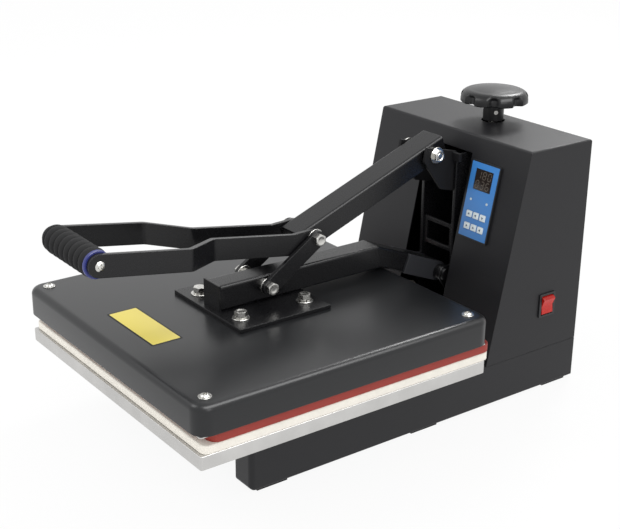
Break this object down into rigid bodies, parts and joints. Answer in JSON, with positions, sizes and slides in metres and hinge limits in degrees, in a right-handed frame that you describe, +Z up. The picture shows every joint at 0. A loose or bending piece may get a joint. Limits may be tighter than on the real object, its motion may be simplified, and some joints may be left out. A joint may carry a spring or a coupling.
{
  "type": "clamshell heat press",
  "caption": "Benchtop clamshell heat press: padded work plate, hinged heated plate with toggle handle, pressure knob and front controller.",
  "frame": {"origin": "middle of the footprint, on the surface that the rubber feet rest on", "axes": "+X to the operator's right, -Y towards the operator and the grip, +Z up"},
  "size_m": [0.388, 0.6454, 0.365],
  "materials": {
    "black_coat": "fine-textured black powder coat",
    "satin_black_steel": "satin black coat on folded steel",
    "zinc": "zinc-plated steel",
    "aluminium": "machined aluminium",
    "foam": "off-white silicone sponge",
    "silicone": "rust-red silicone sheet",
    "foot_rubber": "moulded rubber",
    "grip_foam": "ribbed black foam",
    "blue_plastic": "blue plastic ring",
    "black_plastic": "moulded black plastic",
    "overlay_blue": "printed polyester membrane",
    "key_grey": "pale key caps",
    "display": "smoked display window",
    "led": "red lamp lens",
    "switch_red": "translucent red rocker",
    "element_steel": "sheathed heating element",
    "wool": "mineral-wool sheet",
    "nickel": "nickel-plated brass"
  },
  "bodies": {
    "press_frame": {"side_legs": "black_coat", "rear_tray": "black_coat", "bottom_cover": "zinc", "rubber_feet": "foot_rubber", "platen_supports": "black_coat", "lower_plate": "aluminium", "foam_pad": "foam", "silicone_mat": "silicone", "tower_cover": "black_coat", "tower_screws": "zinc", "controller_case": "black_plastic", "controller_overlay": "overlay_blue", "display_window": "display", "indicator_leds": "led", "switch_bezel": "black_plastic", "power_inlet": "black_plastic", "fuse_holder": "black_plastic", "relay_module": "aluminium", "terminal_block": "black_plastic", "column_plates": "satin_black_steel", "column_cross_plate": "satin_black_steel", "column_back_plate": "satin_black_steel", "column_foot": "satin_black_steel", "screw_bracket": "satin_black_steel", "hinge_pin": "satin_black_steel"},
    "upper_platen": {"platen_cover": "black_coat", "cover_screws": "zinc", "heat_plate": "aluminium", "heating_element": "element_steel", "insulation": "wool", "cable_gland": "nickel", "flange_plate": "black_coat", "flange_bolts": "zinc", "beam": "black_coat", "rear_arm": "black_coat", "hinge_lugs": "satin_black_steel", "knuckle_bolt": "zinc"},
    "links": {"toggle_links": "satin_black_steel", "elbow_heads": "zinc"},
    "handle": {"arm_channel": "black_coat", "handle_bars": "satin_black_steel", "grip_tube": "zinc", "ribbed_grip": "grip_foam", "grip_collars": "blue_plastic", "grip_screws": "zinc", "elbow_bolt": "zinc"},
    "clevis": {"clevis_cheeks": "satin_black_steel", "nut_block": "satin_black_steel", "upper_pivot_bolt": "zinc"},
    "knob": {"pressure_knob": "black_plastic", "pressure_screw": "zinc", "grub_screw": "zinc"},
    "power_rocker": {"rocker": "switch_red"},
    "key_cap_1": {"key_1": "key_grey"},
    "key_cap_2": {"key_2": "key_grey"},
    "key_cap_3": {"key_3": "key_grey"},
    "key_cap_4": {"key_4": "key_grey"},
    "key_cap_5": {"key_5": "key_grey"},
    "key_cap_6": {"key_6": "key_grey"}
  },
  "joints": [
    {"name": "platen_hinge", "type": "hinge", "parent": "press_frame", "child": "upper_platen", "pos_m": [0, 0.1815, 0.13862], "axis": [-1, 0, 0], "range_deg": [0, 60]},
    {"name": "clevis_slide", "type": "slide", "parent": "press_frame", "child": "clevis", "axis": [0, 0, 1], "range_m": [-0.00602, 0.00602]},
    {"name": "knob_spin", "type": "hinge", "parent": "press_frame", "child": "knob", "pos_m": [0, 0.2795, 0.342], "axis": [0, 0, 1], "range_deg": [-1080, 1080]},
    {"name": "handle_hinge", "type": "hinge", "parent": "clevis", "child": "handle", "pos_m": [0, 0.162, 0.296], "axis": [-1, 0, 0], "range_deg": [0, 85.75]},
    {"name": "link_hinge", "type": "hinge", "parent": "upper_platen", "child": "links", "pos_m": [0, -0.0845, 0.1817], "axis": [1, 0, 0], "range_deg": [0, 121.35]},
    {"name": "rocker_tilt", "type": "hinge", "parent": "press_frame", "child": "power_rocker", "pos_m": [0.133, 0.256, 0.1155], "axis": [0, -1, 0], "range_deg": [0, 18]},
    {"name": "key_press_1", "type": "slide", "parent": "press_frame", "child": "key_cap_1", "axis": [0, 0.98, -0.199], "range_m": [0, 0.0006], "stiffness_N_per_m": 800, "springref_m": -0.0005},
    {"name": "key_press_2", "type": "slide", "parent": "press_frame", "child": "key_cap_2", "axis": [0, 0.98, -0.199], "range_m": [0, 0.0006], "stiffness_N_per_m": 800, "springref_m": -0.0005},
    {"name": "key_press_3", "type": "slide", "parent": "press_frame", "child": "key_cap_3", "axis": [0, 0.98, -0.199], "range_m": [0, 0.0006], "stiffness_N_per_m": 800, "springref_m": -0.0005},
    {"name": "key_press_4", "type": "slide", "parent": "press_frame", "child": "key_cap_4", "axis": [0, 0.98, -0.199], "range_m": [0, 0.0006], "stiffness_N_per_m": 800, "springref_m": -0.0005},
    {"name": "key_press_5", "type": "slide", "parent": "press_frame", "child": "key_cap_5", "axis": [0, 0.98, -0.199], "range_m": [0, 0.0006], "stiffness_N_per_m": 800, "springref_m": -0.0005},
    {"name": "key_press_6", "type": "slide", "parent": "press_frame", "child": "key_cap_6", "axis": [0, 0.98, -0.199], "range_m": [0, 0.0006], "stiffness_N_per_m": 800, "springref_m": -0.0005}
  ],
  "couplings": [
    {"joint": "handle_hinge", "follows": "platen_hinge", "ratio": 1.4276},
    {"joint": "link_hinge", "follows": "platen_hinge", "ratio": 2.0209},
    {"joint": "clevis_slide", "follows": "knob_spin", "m_per_rad": 0.00031831}
  ]
}
